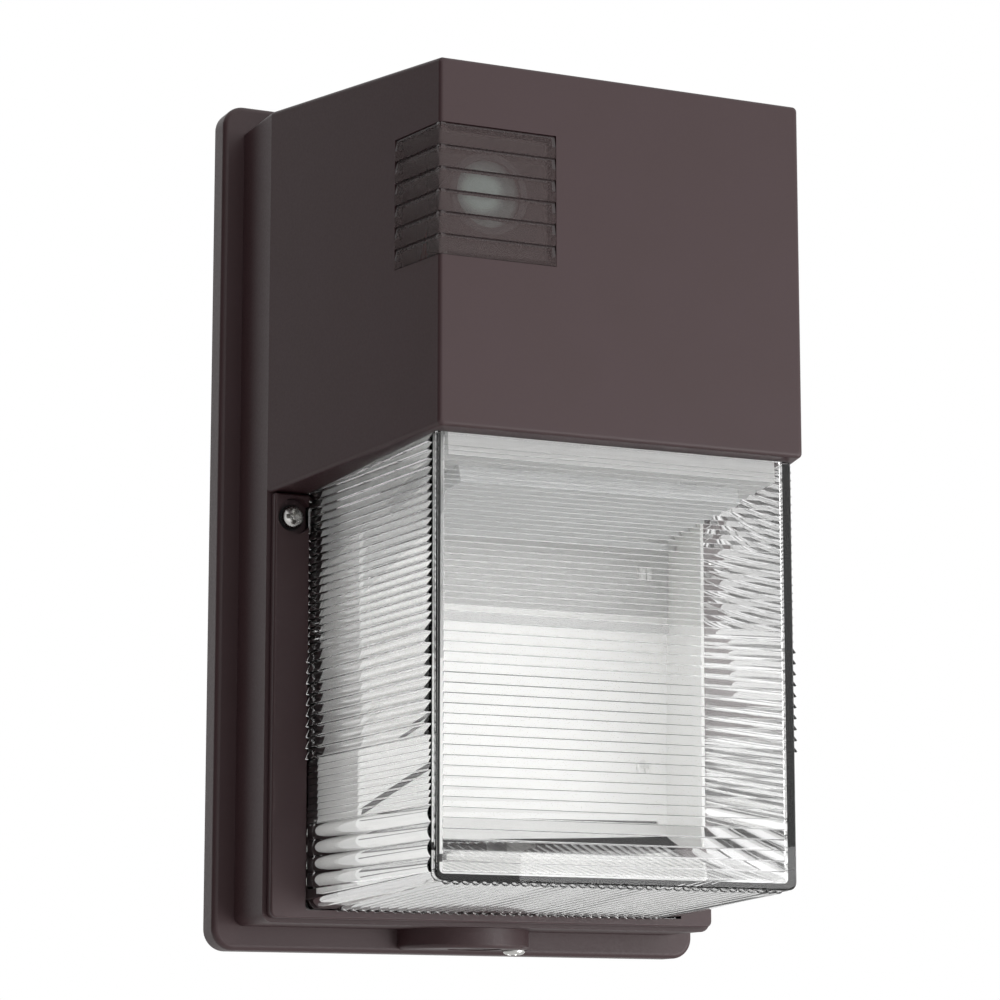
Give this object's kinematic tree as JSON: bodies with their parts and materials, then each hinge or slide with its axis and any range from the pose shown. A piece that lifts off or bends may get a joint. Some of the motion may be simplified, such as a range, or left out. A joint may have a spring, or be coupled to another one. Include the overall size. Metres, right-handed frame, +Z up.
{
  "type": "wall pack light",
  "caption": "Outdoor wall light with a tapered bronze housing, a corner photocell window and a clear ribbed drop lens on a screwed tilting frame.",
  "frame": {"origin": "middle of the wall face, on the axis of the supply hole of the mounting plate", "axes": "+Y points into the wall and the light faces -Y, +Z is up, +X is to the viewer's right"},
  "size_m": [0.1958, 0.1497, 0.3174],
  "materials": {
    "bronze_casting": "dark bronze, fine texture powder coat",
    "bronze_frame": "dark bronze, fine texture powder coat",
    "bronze_plug": "dark bronze, fine texture powder coat",
    "seal_foam": "closed-cell foam, matte",
    "black_rubber": "matte",
    "zinc_plate": "zinc plated",
    "bright_screws": "stainless, bright",
    "inner_screws": "zinc plated",
    "white_screws": "white, satin",
    "green_screw": "green, satin",
    "smoked_plastic": "smoked, clear, glossy",
    "black_plastic": "satin",
    "photocell_lens": "grey, glossy",
    "clear_lens": "clear, polished, ribbed",
    "pale_sheet": "pale grey, satin",
    "white_reflector": "white, satin",
    "grey_pad": "matte",
    "white_board": "white solder mask",
    "green_board": "green solder mask",
    "opal_plastic": "opal diffuser, satin",
    "black_steel": "black coated, matte",
    "led_phosphor": "yellow phosphor",
    "driver_metal": "plain, satin",
    "driver_components": "satin",
    "red_wire": "insulation, satin",
    "white_wire": "insulation, satin",
    "black_wire": "insulation, satin",
    "green_wire": "insulation, satin",
    "connector_plastic": "orange, satin"
  },
  "bodies": {
    "housing": {"housing": "bronze_casting", "wall_gasket": "seal_foam", "mounting_plate": "zinc_plate", "plate_nut": "zinc_plate", "wire_grommet": "black_rubber", "photocell_window": "smoked_plastic", "window_gasket": "black_rubber", "photocell_body": "black_plastic", "photocell_rim": "black_plastic", "photocell_dome": "photocell_lens", "photocell_nut": "black_plastic", "photocell_bracket": "black_steel", "photocell_screws": "inner_screws", "photocell_leads": "red_wire", "led_tray": "pale_sheet", "tray_screws": "inner_screws", "thermal_pad": "grey_pad", "led_board": "white_board", "led_chips": "led_phosphor", "led_board_screws": "inner_screws", "led_cover": "opal_plastic", "led_leads": "white_wire", "reflector": "white_reflector", "reflector_screws": "white_screws", "driver_case": "driver_metal", "driver_lid": "driver_metal", "driver_board": "green_board", "driver_parts": "driver_components", "driver_screws": "inner_screws", "driver_input_leads": "black_wire", "ground_screw": "green_screw", "ground_lead": "green_wire", "wire_connectors": "connector_plastic"},
    "door": {"lens_frame": "bronze_frame", "lens": "clear_lens", "lens_gasket": "seal_foam", "lens_clips": "zinc_plate", "lens_clip_screws": "inner_screws", "door_gasket": "black_rubber", "screw_washers": "black_rubber"},
    "door_screw_right": {"door_screw_right": "bright_screws"},
    "door_screw_left": {"door_screw_left": "bright_screws"},
    "lock_screw": {"lock_screw": "bright_screws"},
    "conduit_plug": {"conduit_plug": "bronze_plug", "plug_ring": "black_rubber"}
  },
  "joints": [
    {"name": "door_tilt", "type": "hinge", "parent": "housing", "child": "door", "pos_m": [0, -0.0402, -0.148], "axis": [1, 0, 0], "range_deg": [0, 50]},
    {"name": "right_screw_draw", "type": "slide", "parent": "door", "child": "door_screw_right", "axis": [0, -1, 0], "range_m": [0, 0.006]},
    {"name": "left_screw_draw", "type": "slide", "parent": "door", "child": "door_screw_left", "axis": [0, -1, 0], "range_m": [0, 0.006]},
    {"name": "lock_screw_draw", "type": "slide", "parent": "housing", "child": "lock_screw", "axis": [0, 0, -1], "range_m": [0, 0.02]},
    {"name": "plug_draw", "type": "slide", "parent": "housing", "child": "conduit_plug", "axis": [0, 0, -1], "range_m": [0, 0.02]}
  ]
}
